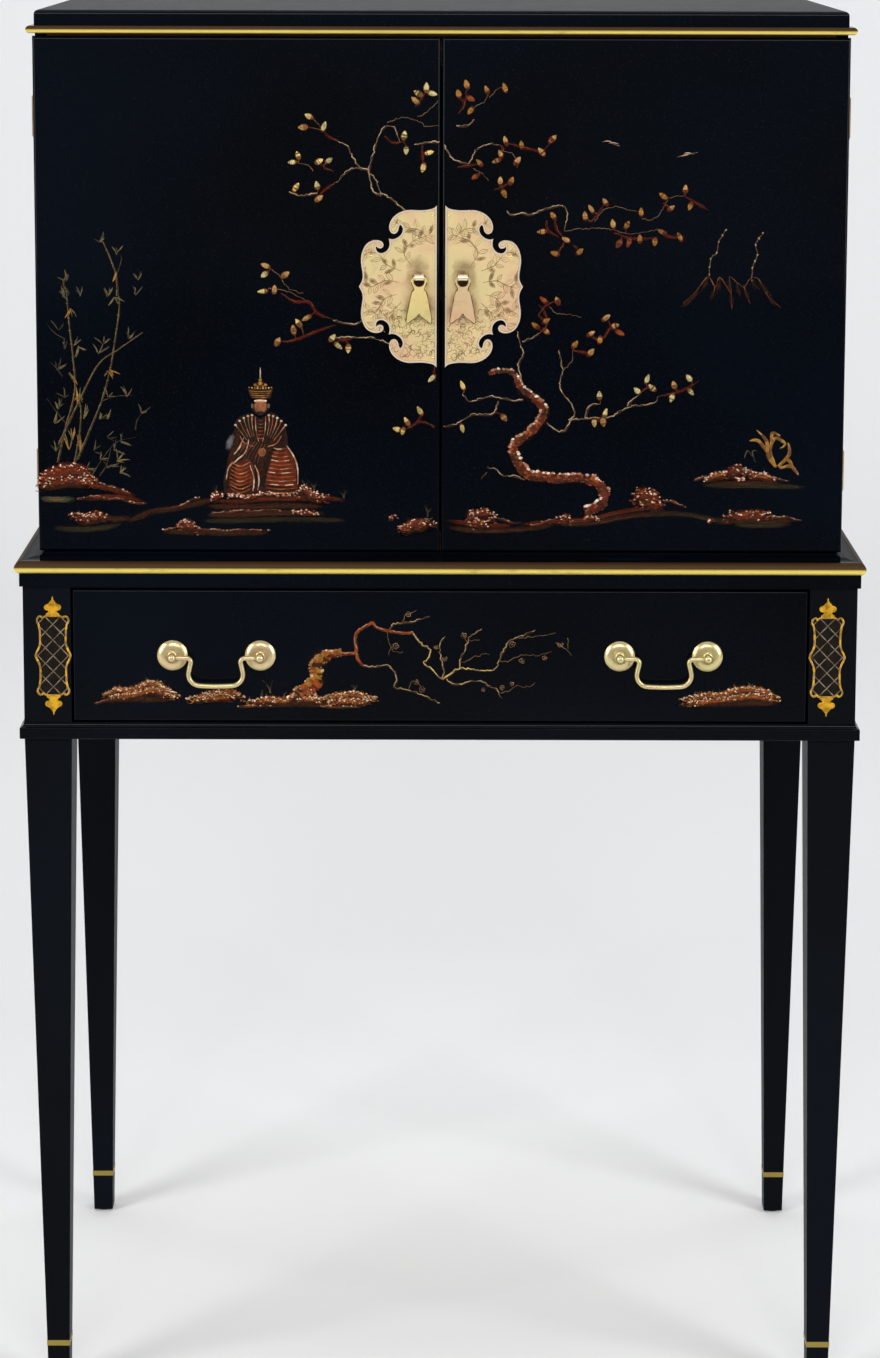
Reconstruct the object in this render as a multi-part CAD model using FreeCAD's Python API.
"""Lacquered cabinet on stand: a two-door case over a one-drawer stand on tapered legs.

All sizes are millimetres. X runs to the right, Y runs from front to back and Z is up. The pieces are
drawn with the stand's front face at Y = 0 and are moved to their place over the origin when saved.
"""
import math
import os

import FreeCAD
import Part

V = FreeCAD.Vector

# ---------------------------------------------------------------- overall
HEIGHT = 1440.0              # floor to the top of the case
STAND_W = 844.0              # over the outer faces of the legs
STAND_D = 476.0
HALF_W = STAND_W / 2
PULL_REACH = 16.5            # how far the bail posts stand out from the drawer front
SHIFT_Y = (PULL_REACH - STAND_D) / 2

# ---------------------------------------------------------------- stand
LEG_W = 48.0                 # square upper block of a leg
LEG_OUTER_TAPER = 13.5       # how far an outer face leans in over the length of the taper
LEG_INNER_TAPER = 13.0
GLIDE_H = 2.5
GLIDE_R = 7.5
TAPER_TOP_Z = 702.4          # bottom of the waist moulding, where the taper starts
FRAME_TOP_Z = 872.0
BAND_Z = 47.5                # gilt band near the foot
BAND_H = 5.8
BAND_W = 24.0
BAND_CORE = 21.2
APRON_T = 18.0
TENON_L = 22.0
TENON_T = 8.0

OPENING_BOTTOM_Z = 719.0     # drawer opening in the front
OPENING_TOP_Z = 858.5
RAIL_D = LEG_W

WAIST_OUT = 4.5              # waist moulding, proud of the frame
WAIST_BAND_TOP_Z = 714.2

STAND_TOP_T = 10.0
LEDGE_OUT = 7.5              # nose of the gilt bead, proud of the frame
FRIEZE_OUT = 3.0
FRIEZE_BOTTOM_Z = 860.2
LEDGE_BEAD_R = 6.4
LEDGE_BEAD_Z = 880.0
LEDGE_TOP_Z = 889.5
LEDGE_INNER = 19.0           # the moulding reaches this far in over the stand's top
LEDGE_REBATE = 6.0

# ---------------------------------------------------------------- case
DOORS_W = 814.0              # over both doors
DOOR_FRONT_Y = 16.0          # set back from the stand's front face
DOOR_T = 19.0
DOOR_BOTTOM_Z = 893.0
DOOR_TOP_Z = 1414.0
DOOR_GAP = 1.6
DOOR_ARRIS = 3.0
DOOR_BACK_Y = DOOR_FRONT_Y + DOOR_T
CASE_FRONT_Y = DOOR_BACK_Y + 1.6
CASE_BACK_Y = 474.0
CASE_HALF = 406.5            # outer face of a case side
CASE_T = 18.0
PLINTH_IN = 4.5              # the plinth is set in from the door edges
PLINTH_TOP_Z = 891.5
HOUSING = 6.0                # depth of the housings in the case sides
BACK_T = 8.0
CASE_TOP_Z = 1417.0          # underside of the built-up top
TOP_BEAD_R = 3.75
TOP_BEAD_OUT = 5.5           # nose of the upper bead, proud of the doors
TOP_BOARD_W = 810.0
TOP_BOARD_FRONT_Y = 18.0
TOP_ARRIS = 4.5
SHELF_Z = 1146.0
SHELF_T = 16.0
SHELF_GAP = 1.5              # from the shelf's end to the case side, past the pins' collars
PIN_R = 2.5
PIN_ROWS = (-96.0, -48.0, 0.0, 48.0, 96.0)
PIN_Y = (90.0, 400.0)

# ---------------------------------------------------------------- door hardware
HINGE_Z = (974.0, 1333.0)
HINGE_H = 40.0
KNUCKLES = 5
KNUCKLE_R = 3.0
PIN_BORE = 1.6
HINGE_PIN_R = 1.3
FINIAL_R = 2.3               # round ends of the hinge pins
FINIAL_COLLAR = 0.8
LEAF_W = 16.0
LEAF_T = 1.5
HINGE_X = 407.3
HINGE_Y = (DOOR_BACK_Y + CASE_FRONT_Y) / 2

PLATE_Z = 1164.3             # centre of the round lock plate
PLATE_T = 2.2
PLATE_SUNK = 0.6             # the field lies this much below the rim
PLATE_RIM = 1.5
PLATE_CHORD = 2.0
DROP_X = 21.9                # drop pulls, from the meeting line of the doors
DROP_Z = 1174.0
DROP_OFF = 4.2               # pivot in front of the lock plate
DROP_T = 2.2
DROP_BAR_R = 1.3
STAPLE_W = 9.4
STAPLE_R_IN = 1.8
STAPLE_R_OUT = 3.2

# ---------------------------------------------------------------- drawer
DRAWER_W = 743.5
DRAWER_FRONT_T = 20.0
DRAWER_BOTTOM_Z = 720.5
DRAWER_TOP_Z = 856.4
DRAWER_SIDE_T = 12.0
DRAWER_SIDE_TOP_Z = 846.0
DRAWER_BACK_Y = 430.0
DRAWER_PANEL_Z = 730.0
DRAWER_PANEL_T = 6.0
TAIL_LAP = 12.0
RUNNER_TOP_Z = 720.2
RUNNER_FACE = 373.0          # the guides' inner faces

PULL_X = (-226.5, 226.5)     # centres of the two bail pulls
PULL_Z = 789.0
PULL_HALF = 44.45            # half of the 3.5 inch boring
ROSETTE_R = 15.5
PIVOT_OUT = 11.8             # bail pivot in front of the drawer
BALL_R = 4.7
BAIL_R = 2.35
BAIL_PIN_R = 1.7


# ---------------------------------------------------------------- drawing helpers
def block(x, y, z):
    """A rectangular board between pairs of coordinates."""
    (x0, x1), (y0, y1), (z0, z1) = sorted(x), sorted(y), sorted(z)
    return Part.makeBox(x1 - x0, y1 - y0, z1 - z0, V(x0, y0, z0))


def edges_along(path, place):
    """Edges of a path. Its items are corners, ("arc", middle, end) and ("curve", points)."""
    here = path[0]
    edges = []
    for item in path[1:]:
        if item[0] == "arc":
            edges.append(Part.Arc(place(*here), place(*item[1]), place(*item[2])).toShape())
            here = item[2]
        elif item[0] == "curve":
            curve = Part.BSplineCurve()
            curve.interpolate([place(*p) for p in [here] + item[1]])
            edges.append(curve.toShape())
            here = item[1][-1]
        else:
            edges.append(Part.makeLine(place(*here), place(*item)))
            here = item
    return edges


def closed_face(path, place):
    """The flat face inside a path, closed with a straight edge if it doesn't come back to its start."""
    edges = edges_along(path, place)
    first, last = edges[0].Vertexes[0].Point, place(*_end(path))
    if first.distanceToPoint(last) > 1e-6:
        edges.append(Part.makeLine(last, first))
    return Part.Face(Part.Wire(edges))


def _end(path):
    last = path[-1]
    if last[0] == "arc":
        return last[2]
    if last[0] == "curve":
        return last[1][-1]
    return last


def mirrored(shape):
    """The same piece on the other side of the middle."""
    return shape.mirror(V(0, 0, 0), V(1, 0, 0))


def both_sides(left):
    return {"left": left, "right": mirrored(left)}


def turned(path, x, y, z):
    """A piece turned on a lathe along -Y. The path's points are (radius, distance out)."""
    face = closed_face(path, lambda r, out: V(x + r, y - out, z))
    return face.revolve(V(x, y, z), V(0, 1, 0), 360)


def moulding_run(profile, half_w, depth, side):
    """A mitred length of moulding round the front or along a side.

    The profile's points are (distance out from the frame's face, height).
    """
    reach = 12.0
    inner = 40.0
    if side == "front":
        face = closed_face(profile, lambda out, z: V(-half_w - reach, -out, z))
        run = face.extrude(V(2 * (half_w + reach), 0, 0))
        plan = [(-half_w - reach, -reach), (half_w + reach, -reach),
                (half_w - inner, inner), (-half_w + inner, inner)]
    else:
        face = closed_face(profile, lambda out, z: V(-half_w - out, -reach, z))
        run = face.extrude(V(0, depth + reach, 0))
        plan = [(-half_w - reach, -reach), (-half_w + inner, inner),
                (-half_w + inner, depth), (-half_w - reach, depth)]
    mitre = closed_face(plan, lambda x, y: V(x, y, 0)).extrude(V(0, 0, HEIGHT + 10))
    return run.common(mitre)


def moulding_set(profile, half_w, depth):
    """Front, left and right lengths of one moulding."""
    left = moulding_run(profile, half_w, depth, "left")
    return {"front": moulding_run(profile, half_w, depth, "front"), "left": left, "right": mirrored(left)}


# ---------------------------------------------------------------- stand
def leg_section(height):
    """Centre offset from the outer corner and width of a leg at a height in the taper."""
    k = (TAPER_TOP_Z - height) / TAPER_TOP_Z
    outer = LEG_OUTER_TAPER * k
    width = LEG_W - (LEG_OUTER_TAPER + LEG_INNER_TAPER) * k
    return outer, width


def leg_square(height):
    """Horizontal square of the front left leg at a height."""
    outer, width = leg_section(height)
    x0, y0 = -HALF_W + outer, outer
    corners = [V(x0, y0, height), V(x0 + width, y0, height), V(x0 + width, y0 + width, height),
               V(x0, y0 + width, height)]
    return Part.makePolygon(corners + corners[:1])


def band_centre():
    outer, width = leg_section(BAND_Z)
    return -HALF_W + outer + width / 2, outer + width / 2


def leg_band():
    """Gilt band let into the leg, a hair proud of it."""
    x, y = band_centre()
    z = (BAND_Z - BAND_H / 2, BAND_Z + BAND_H / 2)
    half, core = BAND_W / 2, BAND_CORE / 2
    ring = block((x - half, x + half), (y - half, y + half), z)
    return ring.cut(block((x - core, x + core), (y - core, y + core), z))


def front_left_leg():
    """Tapered leg with its square block, before the mortises are cut."""
    taper = Part.makeLoft([leg_square(GLIDE_H), leg_square(TAPER_TOP_Z)], True)
    head = block((-HALF_W, -HALF_W + LEG_W), (0, LEG_W), (TAPER_TOP_Z, FRAME_TOP_Z))
    leg = taper.fuse(head).removeSplitter()
    return leg.cut(leg_band())


def to_back(shape):
    """The matching piece at the back of the stand."""
    return shape.mirror(V(0, STAND_D / 2, 0), V(0, 1, 0))


def side_apron():
    """Left apron with a tenon at each end."""
    board = block((-HALF_W, -HALF_W + APRON_T), (LEG_W, STAND_D - LEG_W), (TAPER_TOP_Z, FRAME_TOP_Z))
    middle = -HALF_W + APRON_T / 2
    tenon = block((middle - TENON_T / 2, middle + TENON_T / 2),
                  (LEG_W - TENON_L, STAND_D - LEG_W + TENON_L), (TAPER_TOP_Z + 18, FRAME_TOP_Z - 18))
    return board.fuse(tenon).removeSplitter()


def back_apron():
    reach = HALF_W - LEG_W
    board = block((-reach, reach), (STAND_D - APRON_T, STAND_D), (TAPER_TOP_Z, FRAME_TOP_Z))
    middle = STAND_D - APRON_T / 2
    tenon = block((-reach - TENON_L + 2, reach + TENON_L - 2),
                  (middle - TENON_T / 2, middle + TENON_T / 2), (TAPER_TOP_Z + 18, FRAME_TOP_Z - 18))
    return board.fuse(tenon).removeSplitter()


def front_rail(bottom, top):
    """Flat rail above or below the drawer, tenoned into the leg blocks."""
    reach = HALF_W - LEG_W
    rail = block((-reach, reach), (0, RAIL_D), (bottom, top))
    middle = (bottom + top) / 2
    tenon = block((-reach - 18, reach + 18), (12, RAIL_D - 16), (middle - 3, middle + 3))
    return rail.fuse(tenon).removeSplitter()


def waist_profile():
    """Band with a hollow above it, applied under the drawer."""
    top, band = OPENING_BOTTOM_Z, WAIST_BAND_TOP_Z
    return [(0, TAPER_TOP_Z), (WAIST_OUT - 1.2, TAPER_TOP_Z),
            ("arc", (WAIST_OUT - 0.35, TAPER_TOP_Z + 0.35), (WAIST_OUT, TAPER_TOP_Z + 1.2)),
            (WAIST_OUT, band - 0.6), ("arc", (WAIST_OUT - 0.2, band - 0.15), (WAIST_OUT - 0.8, band)),
            ("arc", (1.6, band + 1.5), (0.6, top)), (0, top)]


def ledge_profile():
    """Frieze band, seat for the gilt bead and a low ogee rising to the plinth of the case."""
    back = LEDGE_OUT - LEDGE_BEAD_R
    bead_bottom, bead_top = LEDGE_BEAD_Z - LEDGE_BEAD_R, LEDGE_BEAD_Z + LEDGE_BEAD_R
    seat = FRAME_TOP_Z + STAND_TOP_T
    return [(0, FRIEZE_BOTTOM_Z), (FRIEZE_OUT, FRIEZE_BOTTOM_Z), (FRIEZE_OUT, bead_bottom),
            (back, bead_bottom), (back, bead_top),
            ("curve", [(-3.0, bead_top + 0.35), (-7.5, bead_top + 1.55), (-12.0, bead_top + 2.8),
                       (-15.5, LEDGE_TOP_Z)]),
            (-LEDGE_INNER, LEDGE_TOP_Z), (-LEDGE_INNER, seat), (-LEDGE_REBATE, seat),
            (-LEDGE_REBATE, FRAME_TOP_Z), (0, FRAME_TOP_Z)]


def bead_profile(nose_out, radius, height):
    """Half-round bead whose nose stands out this far."""
    back = nose_out - radius
    return [(back, height - radius), ("arc", (nose_out, height), (back, height + radius))]


def drawer_runner():
    """Left runner: a guide beside the drawer, a ledge under its side and a stop block at the back."""
    outer = -HALF_W + APRON_T
    back = STAND_D - APRON_T
    profile = [(outer, 706.0), (-350.0, 706.0), (-350.0, RUNNER_TOP_Z), (-RUNNER_FACE, RUNNER_TOP_Z),
               (-RUNNER_FACE, 790.0), (outer, 790.0)]
    run = closed_face(profile, lambda x, z: V(x, RAIL_D, z)).extrude(V(0, back - RAIL_D, 0))
    stop = block((-RUNNER_FACE, -350.0), (DRAWER_BACK_Y + 0.6, back), (RUNNER_TOP_Z, 760.0))
    leg = block((-HALF_W, -HALF_W + LEG_W), (STAND_D - LEG_W, STAND_D), (700, 800))
    return run.fuse(stop).removeSplitter().cut(leg)


def stand_pieces():
    legs = {"front_left": front_left_leg()}
    legs["front_right"] = mirrored(legs["front_left"])
    legs["back_left"] = to_back(legs["front_left"])
    legs["back_right"] = mirrored(legs["back_left"])
    apron = side_apron()
    pieces = {
        "apron_left": apron,
        "apron_right": mirrored(apron),
        "apron_back": back_apron(),
        "front_rail_top": front_rail(OPENING_TOP_Z, FRAME_TOP_Z),
        "front_rail_bottom": front_rail(TAPER_TOP_Z, OPENING_BOTTOM_Z),
    }
    for name, leg in legs.items():
        for joined in list(pieces.values())[:5]:
            leg = leg.cut(joined)
        pieces["leg_" + name] = leg
    for name, run in both_sides(drawer_runner()).items():
        pieces["drawer_runner_" + name] = run
    top = block((-HALF_W + LEDGE_REBATE, HALF_W - LEDGE_REBATE), (LEDGE_REBATE, STAND_D),
                (FRAME_TOP_Z, FRAME_TOP_Z + STAND_TOP_T))
    pieces["stand_top_board"] = top
    for name, run in moulding_set(waist_profile(), HALF_W, STAND_D).items():
        pieces["waist_moulding_" + name] = run
    for name, run in moulding_set(ledge_profile(), HALF_W, STAND_D).items():
        pieces["ledge_moulding_" + name] = run
    ledge_bead = bead_profile(LEDGE_OUT, LEDGE_BEAD_R, LEDGE_BEAD_Z)
    for name, run in moulding_set(ledge_bead, HALF_W, STAND_D).items():
        pieces["ledge_bead_" + name] = run
    band = leg_band()
    bands = [band, mirrored(band), to_back(band), mirrored(to_back(band))]
    pieces["leg_bands"] = Part.makeCompound(bands)
    x, y = -HALF_W + LEG_OUTER_TAPER, LEG_OUTER_TAPER
    foot = LEG_W - LEG_OUTER_TAPER - LEG_INNER_TAPER
    glide = Part.makeCylinder(GLIDE_R, GLIDE_H, V(x + foot / 2, y + foot / 2, 0))
    glides = [glide, mirrored(glide), to_back(glide), mirrored(to_back(glide))]
    pieces["foot_glides"] = Part.makeCompound(glides)
    return pieces


# ---------------------------------------------------------------- case
def case_side():
    """Left side with housings for floor and ceiling, a rebate for the back and rows of pin holes."""
    side = block((-CASE_HALF, -CASE_HALF + CASE_T), (CASE_FRONT_Y, CASE_BACK_Y), (PLINTH_TOP_Z, CASE_TOP_Z))
    inner = -CASE_HALF + CASE_T
    back = block((inner - HOUSING, inner), (CASE_BACK_Y - BACK_T, CASE_BACK_Y), (PLINTH_TOP_Z, CASE_TOP_Z))
    side = side.cut(back)
    holes = []
    for y in PIN_Y:
        for row in PIN_ROWS:
            centre = V(inner - 9.0, y, SHELF_Z - PIN_R + row)
            holes.append(Part.makeCylinder(PIN_R, 9.5, centre, V(1, 0, 0)))
    return side.cut(holes)


def case_board(bottom, top):
    """Floor or ceiling of the case, housed in the sides."""
    reach = CASE_HALF - CASE_T + HOUSING
    return block((-reach, reach), (CASE_FRONT_Y, CASE_BACK_Y - BACK_T), (bottom, top))


def case_top():
    """Built-up top: a lower layer that carries the gilt bead and the thicker board on it."""
    half = DOORS_W / 2 + TOP_BEAD_OUT - TOP_BEAD_R
    front = DOOR_FRONT_Y - TOP_BEAD_OUT + TOP_BEAD_R
    layer_top = CASE_TOP_Z + 2 * TOP_BEAD_R
    layer = block((-half, half), (front, CASE_BACK_Y), (CASE_TOP_Z, layer_top))
    board = block((-TOP_BOARD_W / 2, TOP_BOARD_W / 2), (TOP_BOARD_FRONT_Y, CASE_BACK_Y), (layer_top, HEIGHT))
    rounded = [e for e in board.Edges if _is_top_arris(e)]
    return layer.fuse(board.makeFillet(TOP_ARRIS, rounded)).removeSplitter()


def _is_top_arris(edge):
    """True for the top front and top side edges of the board."""
    box = edge.BoundBox
    if box.ZMin < HEIGHT - 1e-3:
        return False
    return box.YMin < CASE_BACK_Y - 1e-3


def top_beads():
    """The upper bead runs along the doors' front and the sides of the case."""
    profile = bead_profile(TOP_BEAD_OUT, TOP_BEAD_R, CASE_TOP_Z + TOP_BEAD_R)
    runs = moulding_set(profile, DOORS_W / 2, CASE_BACK_Y - DOOR_FRONT_Y)
    for run in runs.values():
        run.translate(V(0, DOOR_FRONT_Y, 0))
    return runs


def shelf_pins():
    """Four pins in the middle row of holes. Each has a collar against the case side."""
    pins = []
    inner = CASE_HALF - CASE_T
    path = [(-8.5, 0), (-8.5, PIN_R), (0, PIN_R), (0, PIN_R + 1.5), (1.2, PIN_R + 1.5), (1.2, PIN_R),
            (8.4, PIN_R), (9.0, PIN_R - 0.6), (9.0, 0)]
    for y in PIN_Y:
        centre = V(-inner, y, SHELF_Z - PIN_R)
        pin = closed_face(path, lambda a, r: centre + V(a, 0, r)).revolve(centre, V(1, 0, 0), 360)
        pins += [pin, mirrored(pin)]
    return Part.makeCompound(pins)


def door_catch():
    """Double magnetic catch under the ceiling, behind the meeting edges of the doors."""
    body = block((-32, 32), (CASE_FRONT_Y + 0.4, CASE_FRONT_Y + 14), (1384, 1399))
    for x in (-18, 18):
        magnet = Part.makeCylinder(5.0, 1.0, V(x, CASE_FRONT_Y - 0.2, 1391.5), V(0, 1, 0))
        body = body.fuse(magnet)
    return body.removeSplitter()


def case_pieces():
    floor = case_board(PLINTH_TOP_Z, PLINTH_TOP_Z + CASE_T)
    ceiling = case_board(CASE_TOP_Z - CASE_T, CASE_TOP_Z)
    side = case_side().cut([floor, ceiling])
    reach = DOORS_W / 2 - PLINTH_IN
    plinth_z = FRAME_TOP_Z + STAND_TOP_T
    inner = CASE_HALF - CASE_T
    pieces = {
        "case_plinth": block((-reach, reach), (20.0, CASE_BACK_Y), (plinth_z, PLINTH_TOP_Z)),
        "case_floor": floor,
        "case_ceiling": ceiling,
        "case_top": case_top(),
        "case_back": block((-inner - HOUSING, inner + HOUSING), (CASE_BACK_Y - BACK_T, CASE_BACK_Y),
                           (PLINTH_TOP_Z, CASE_TOP_Z)),
        "shelf": block((-inner + SHELF_GAP, inner - SHELF_GAP), (CASE_FRONT_Y + 12, CASE_BACK_Y - BACK_T - 1),
                       (SHELF_Z, SHELF_Z + SHELF_T)),
        "shelf_pins": shelf_pins(),
        "door_catch": door_catch(),
    }
    leaves = hinge_set("case")
    clearance = hinge_clearance()
    side = side.cut(leaves).cut(clearance)
    for name, board in both_sides(side).items():
        pieces["case_side_" + name] = board
    for name, leaf in both_sides(leaves).items():
        pieces["hinge_case_leaves_" + name] = leaf
    pins = hinge_pins()
    pieces["hinge_pins"] = Part.makeCompound(pins + [mirrored(p) for p in pins])
    for name, run in top_beads().items():
        pieces["top_bead_" + name] = run
    return pieces


# ---------------------------------------------------------------- hinges
def hinge_leaf(z, kind):
    """One brass leaf with its knuckles. The case leaf has the odd knuckles, the door leaf the even ones."""
    step = HINGE_H / KNUCKLES
    bottom = z - HINGE_H / 2
    inward = -HINGE_X + KNUCKLE_R * 0.4
    if kind == "case":
        leaf = block((inward, -HINGE_X + LEAF_W), (CASE_FRONT_Y, CASE_FRONT_Y + LEAF_T),
                     (bottom, bottom + HINGE_H))
        picks = range(0, KNUCKLES, 2)
    else:
        leaf = block((inward, -HINGE_X + LEAF_W), (DOOR_BACK_Y - LEAF_T, DOOR_BACK_Y),
                     (bottom, bottom + HINGE_H))
        picks = range(1, KNUCKLES, 2)
    others = [n for n in range(KNUCKLES) if n not in picks]
    for n in others:
        gap = Part.makeCylinder(KNUCKLE_R + 0.4, step + 0.4, V(-HINGE_X, HINGE_Y, bottom + n * step - 0.2))
        leaf = leaf.cut(gap)
    for n in picks:
        leaf = leaf.fuse(Part.makeCylinder(KNUCKLE_R, step, V(-HINGE_X, HINGE_Y, bottom + n * step)))
    bore = HINGE_PIN_R if kind == "case" else PIN_BORE
    leaf = leaf.cut(Part.makeCylinder(bore, HINGE_H + 2, V(-HINGE_X, HINGE_Y, bottom - 1)))
    return leaf.removeSplitter()


def hinge_set(kind):
    """The upper and lower leaf of the left door."""
    return Part.makeCompound([hinge_leaf(z, kind) for z in HINGE_Z])


def hinge_clearance():
    """Notches for the knuckles and finials in the edges of door and case."""
    beyond = FINIAL_R + FINIAL_COLLAR + 0.5
    return [Part.makeCylinder(KNUCKLE_R + 0.4, HINGE_H + 2 * beyond,
                              V(-HINGE_X, HINGE_Y, z - HINGE_H / 2 - beyond))
            for z in HINGE_Z]


def hinge_pins():
    """Hinge pins with round finials above and below the knuckles."""
    pins = []
    head, collar = FINIAL_R, FINIAL_COLLAR
    slant = head * math.sqrt(0.5)
    for z in HINGE_Z:
        low, high = z - HINGE_H / 2, z + HINGE_H / 2
        path = [(0, low - collar - head), ("arc", (slant, low - collar - slant), (head, low - collar)),
                (head, low), (HINGE_PIN_R, low), (HINGE_PIN_R, high), (head, high), (head, high + collar),
                ("arc", (slant, high + collar + slant), (0, high + collar + head))]
        face = closed_face(path, lambda r, h: V(-HINGE_X + r, HINGE_Y, h))
        pins.append(face.revolve(V(-HINGE_X, HINGE_Y, 0), V(0, 0, 1), 360))
    return pins


# ---------------------------------------------------------------- doors
# Upper quarter of a half lock plate, as (distance from the meeting line, height above the centre).
PLATE_TIP_TOP = (4.3, 81.8)
PLATE_TOP_EDGE = [(7.0, 79.3), (12.5, 77.6), (21.0, 76.9), (29.5, 77.2), (35.3, 76.8), (40.0, 75.3),
                  (44.6, 72.8), (48.3, 69.3), (50.8, 65.4), (51.9, 61.4), (51.7, 57.6), (50.2, 54.6),
                  (47.2, 53.2), (44.4, 54.4), (42.8, 57.3), (42.2, 60.2), (41.0, 62.6)]
PLATE_UPPER_NOTCH = [(38.9, 60.6), (38.2, 57.2), (39.3, 53.6), (42.2, 50.3), (46.0, 48.2), (49.4, 47.7),
                     (52.2, 48.5)]
PLATE_LOWER_NOTCH = [(51.6, 45.4), (51.5, 42.0), (52.5, 38.6), (54.8, 35.7), (58.0, 34.0), (61.4, 33.8),
                     (64.2, 35.7), (65.3, 38.4), (65.0, 40.8)]
PLATE_SIDE_LOBE = [(62.6, 38.9), (60.2, 38.6), (58.3, 39.8), (57.5, 42.0), (58.4, 44.5), (61.2, 46.3),
                   (65.4, 46.9), (70.0, 45.9), (74.2, 43.3), (77.3, 38.9), (79.3, 33.6), (80.1, 28.0),
                   (79.9, 22.4), (79.0, 16.5), (78.4, 10.6), (79.0, 6.4), (80.4, 3.2), (82.2, 0.0)]


def plate_path():
    """Outline of the left half plate, from the top tip round to the bottom tip."""
    upper = [PLATE_TOP_EDGE, PLATE_UPPER_NOTCH, PLATE_LOWER_NOTCH, PLATE_SIDE_LOBE]
    path = [PLATE_TIP_TOP] + [("curve", points) for points in upper]
    starts = [PLATE_TIP_TOP] + [points[-1] for points in upper[:-1]]
    for start, points in reversed(list(zip(starts, upper))):
        lower = [(x, -z) for x, z in [start] + points][::-1]
        path.append(("curve", lower[1:]))
    return path


def chorded(face, step):
    """The same face with its curves cut into short chords, so that its rim can be set in evenly."""
    points = []
    for edge in face.OuterWire.OrderedEdges:
        points += edge.discretize(max(2, int(edge.Length / step) + 1))[:-1]
    return Part.Face(Part.makePolygon(points + points[:1]))


def lock_plate():
    """Left half of the scrolled lock plate: a sunk field inside a raised rim."""
    back = DOOR_FRONT_Y
    outline = chorded(closed_face(plate_path(), lambda x, z: V(-x, back, PLATE_Z + z)), PLATE_CHORD)
    plate = outline.extrude(V(0, -PLATE_T, 0))
    inner = outline.makeOffset2D(-PLATE_RIM, join=2).Faces[0]
    inner.translate(V(0, -PLATE_T + PLATE_SUNK, 0))
    field = inner.extrude(V(0, -PLATE_SUNK - 0.5, 0))
    return plate.cut(field).Solids[0]


def plate_front():
    return DOOR_FRONT_Y - PLATE_T + PLATE_SUNK


def drop_staple():
    """Strap that comes out of the left plate, round the bar of the drop pull and back."""
    y = plate_front() - DROP_OFF
    foot = plate_front()
    outer = [(foot, STAPLE_R_OUT), (y, STAPLE_R_OUT), ("arc", (y - STAPLE_R_OUT, 0), (y, -STAPLE_R_OUT)),
             (foot, -STAPLE_R_OUT), (foot, -STAPLE_R_IN), (y, -STAPLE_R_IN),
             ("arc", (y - STAPLE_R_IN, 0), (y, STAPLE_R_IN)), (foot, STAPLE_R_IN)]
    face = closed_face(outer, lambda a, b: V(-DROP_X - STAPLE_W / 2, a, DROP_Z + b))
    return face.extrude(V(STAPLE_W, 0, 0))


def drop_pull():
    """Swallow-tailed drop with an eye whose top bar hangs in the staple."""
    half = [(0, 1.3), ("curve", [(4.6, 1.0), (7.4, -1.6), (8.2, -5.2), (7.2, -9.0), (5.9, -12.2)]),
            ("curve", [(6.6, -14.0), (8.8, -16.4)]),
            ("curve", [(9.2, -24.0), (10.6, -33.0), (14.0, -46.2)]),
            ("curve", [(10.6, -45.6), (6.6, -43.4), (2.6, -40.6), (0, -37.4)])]
    outline = closed_face(half, lambda a, b: V(a, -DROP_T / 2, b))
    body = outline.extrude(V(0, DROP_T, 0))
    eye = [(0, -1.3), (5.0, -1.3), ("arc", (5.7, -4.2), (4.6, -7.4)), ("arc", (2.6, -9.0), (0, -9.4))]
    body = body.cut(closed_face(eye, lambda a, b: V(a, -DROP_T, b)).extrude(V(0, 2 * DROP_T, 0)))
    body = body.fuse(mirrored(body)).removeSplitter()
    slot = block((-5.0, 5.0), (-DROP_T, DROP_T), (-1.4, 3.0))
    bar = Part.makeCylinder(DROP_BAR_R, 10.4, V(-5.2, 0, 0), V(1, 0, 0))
    body = body.cut(slot).fuse(bar).removeSplitter()
    body.translate(V(-DROP_X, plate_front() - DROP_OFF, DROP_Z))
    return body


def door():
    """Left door with softened front arrises, the hinge mortises and a recess for the strike."""
    panel = block((-DOORS_W / 2, -DOOR_GAP / 2), (DOOR_FRONT_Y, DOOR_BACK_Y), (DOOR_BOTTOM_Z, DOOR_TOP_Z))
    front = [e for e in panel.Edges if e.BoundBox.YMax < DOOR_FRONT_Y + 1e-3]
    return panel.makeFillet(DOOR_ARRIS, front)


def door_strike():
    """Steel disc let into the back of the left door, facing its magnet."""
    return Part.makeCylinder(7.0, 1.2, V(-18, DOOR_BACK_Y - 1.0, 1391.5), V(0, 1, 0))


def door_pieces():
    leaves = hinge_set("door")
    strike = door_strike()
    left = {
        "door": door().cut(leaves).cut(hinge_clearance()).cut(strike),
        "hinge_door_leaves": leaves,
        "door_strike": strike,
        "lock_plate": lock_plate(),
        "drop_staple": drop_staple(),
        "drop_pull": drop_pull(),
    }
    pieces = {}
    for name, shape in left.items():
        for side, piece in both_sides(shape).items():
            pieces[name + "_" + side] = piece
    return pieces


# ---------------------------------------------------------------- drawer
def drawer_tails():
    """Half-blind tails on the front end of the left side board."""
    x0 = -DRAWER_W / 2
    y_back, y_tip = DRAWER_FRONT_T, DRAWER_FRONT_T - TAIL_LAP
    tails = []
    count = 4
    pitch = (DRAWER_SIDE_TOP_Z - DRAWER_BOTTOM_Z) / count
    for n in range(count):
        z = DRAWER_BOTTOM_Z + (n + 0.5) * pitch
        plan = [(y_back, z - 9.5), (y_tip, z - 12.0), (y_tip, z + 12.0), (y_back, z + 9.5)]
        face = closed_face(plan, lambda y, h: V(x0, y, h))
        tails.append(face.extrude(V(DRAWER_SIDE_T, 0, 0)))
    return tails


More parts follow.
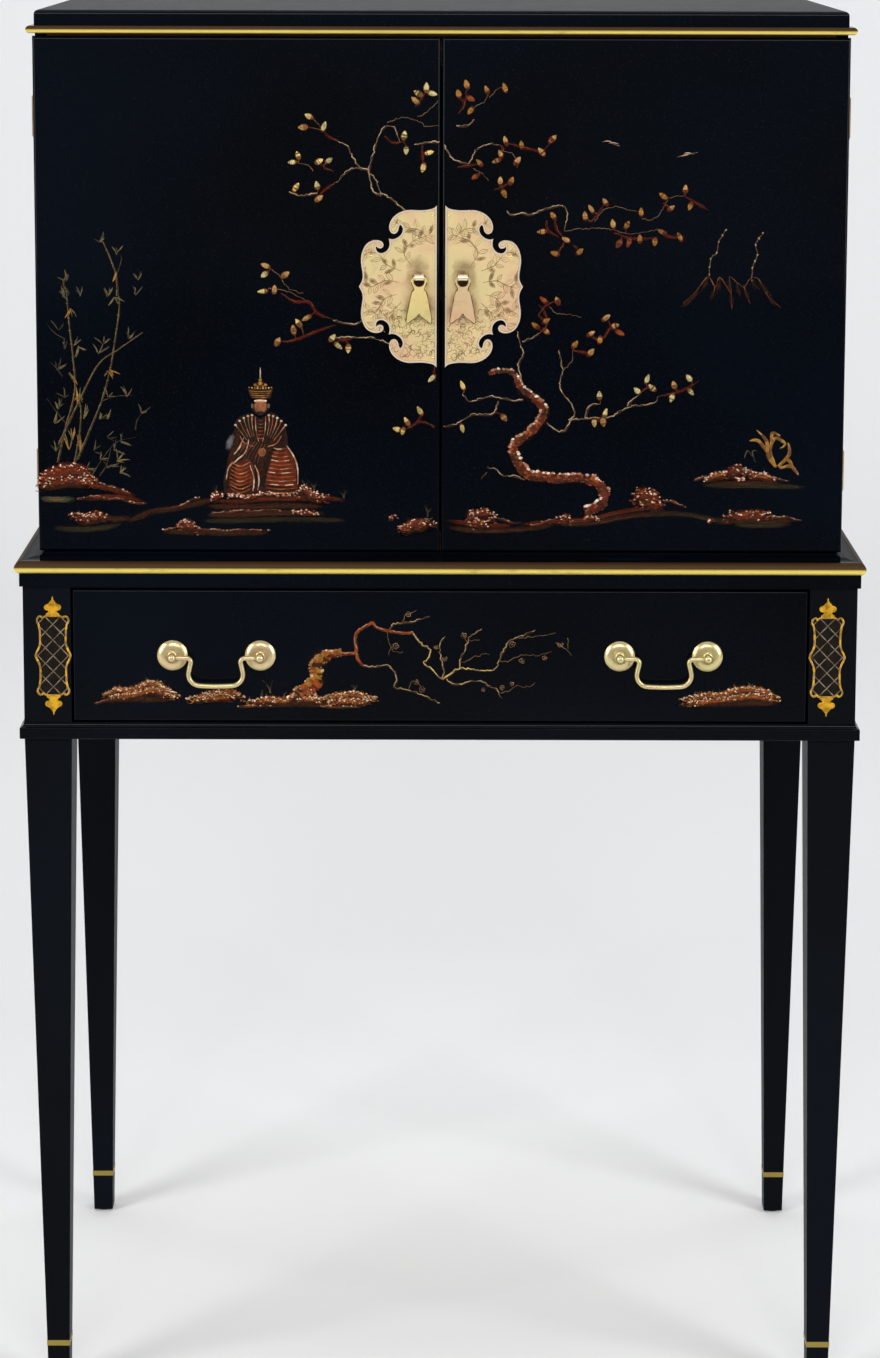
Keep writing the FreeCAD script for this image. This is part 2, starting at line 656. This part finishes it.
def drawer_side():
    x = (-DRAWER_W / 2, -DRAWER_W / 2 + DRAWER_SIDE_T)
    board = block(x, (DRAWER_FRONT_T, DRAWER_BACK_Y), (DRAWER_BOTTOM_Z, DRAWER_SIDE_TOP_Z))
    return board.fuse(drawer_tails()).removeSplitter()


def bail_bore(x, side):
    """Hole in the ball for one end of the bail, on the side that faces the middle of the pull."""
    centre = V(x, -PIVOT_OUT, PULL_Z)
    return Part.makeCylinder(BAIL_PIN_R + 0.3, BALL_R + 3, centre - V(side * -1.6, 0, 0), V(-side, 0, 0))


def rosette(x, side):
    """Domed rosette, neck and ball turned in one, with the bail's hole bored in the ball."""
    neck = 3.0
    lift = math.sqrt(BALL_R ** 2 - neck ** 2)
    path = [(0, 0), (ROSETTE_R, 0), (ROSETTE_R, 1.0),
            ("arc", (12.9, 3.0), (9.4, 4.1)), (8.2, 4.3), ("arc", (7.3, 4.1), (6.9, 3.3)),
            (5.4, 3.3), ("arc", (3.9, 3.7), (neck, 5.2)), (neck, PIVOT_OUT - lift),
            ("arc", (BALL_R, PIVOT_OUT), (0, PIVOT_OUT + BALL_R))]
    return turned(path, x, 0, PULL_Z).cut(bail_bore(x, side))


BAIL_START = 38.6            # from the middle of the pull to where the bail narrows into its pin
BAIL_RUN = [(9.1, 0, 0), (0, 4.4, 103), (9.0, 0, 0), (0, 11.8, -99), (0, 237.5, -4)]


def bent_bar(x, z, heading, run, radius, y):
    """Round bar bent in the upright plane at y. Each step of the run is (length, 0, 0) for a straight
    or (0, bend radius, angle) for a bend, where a positive angle turns to the left."""
    lengths = []
    for length, bend, angle in run:
        along = V(math.cos(math.radians(heading)), 0, math.sin(math.radians(heading)))
        end = Part.Face(Part.Wire([Part.Circle(V(x, y, z), along, radius).toShape()]))
        if length:
            lengths.append(end.extrude(along * length))
            x, z = x + along.x * length, z + along.z * length
            continue
        side = math.copysign(1, angle)
        cx, cz = x - side * bend * along.z, z + side * bend * along.x
        lengths.append(end.revolve(V(cx, y, cz), V(0, -side, 0), abs(angle)))
        turn = math.radians(angle)
        dx, dz = x - cx, z - cz
        x = cx + dx * math.cos(turn) - dz * math.sin(turn)
        z = cz + dx * math.sin(turn) + dz * math.cos(turn)
        heading += angle
    return lengths[0].fuse(lengths[1:])


def bail(x):
    """Swan-necked bail: a bent round bar, with pins that enter the balls."""
    bar = bent_bar(BAIL_START, PULL_Z, 180, BAIL_RUN + BAIL_RUN[::-1], BAIL_R, -PIVOT_OUT)
    pin = Part.makeCylinder(BAIL_PIN_R, PULL_HALF - 1.9 - BAIL_START + 0.5,
                            V(BAIL_START - 0.5, -PIVOT_OUT, PULL_Z), V(1, 0, 0))
    bar = bar.fuse([pin, mirrored(pin)]).removeSplitter()
    bar.translate(V(x, 0, 0))
    return bar


def drawer_pieces():
    sides = both_sides(drawer_side())
    panel = block((-DRAWER_W / 2 + 7, DRAWER_W / 2 - 7), (DRAWER_FRONT_T - 6, DRAWER_BACK_Y - 1),
                  (DRAWER_PANEL_Z, DRAWER_PANEL_Z + DRAWER_PANEL_T))
    front = block((-DRAWER_W / 2, DRAWER_W / 2), (0, DRAWER_FRONT_T), (DRAWER_BOTTOM_Z, DRAWER_TOP_Z))
    arrises = [e for e in front.Edges if e.BoundBox.YMax < 1e-3]
    front = front.makeFillet(1.8, arrises)
    inner = DRAWER_W / 2 - DRAWER_SIDE_T
    back = block((-inner - 4, inner + 4), (DRAWER_BACK_Y - 20, DRAWER_BACK_Y - 8),
                 (DRAWER_PANEL_Z + DRAWER_PANEL_T, DRAWER_SIDE_TOP_Z - 8))
    pieces = {"drawer_front": front.cut([sides["left"], sides["right"], panel]),
              "drawer_back": back, "drawer_bottom": panel}
    for name, side in sides.items():
        pieces["drawer_side_" + name] = side.cut([panel, back])
    posts = []
    for x, name in zip(PULL_X, ("left", "right")):
        posts += [rosette(x - PULL_HALF, -1), rosette(x + PULL_HALF, 1)]
        pieces["bail_" + name] = bail(x)
    pieces["pull_rosettes"] = Part.makeCompound(posts)
    return pieces


# ---------------------------------------------------------------- save
def main():
    os.makedirs("parts", exist_ok=True)
    for pieces in (stand_pieces(), case_pieces(), door_pieces(), drawer_pieces()):
        for name, shape in pieces.items():
            placed = shape.copy()
            placed.translate(V(0, SHIFT_Y, 0))
            placed.exportStep("parts/" + name + ".step")


main()
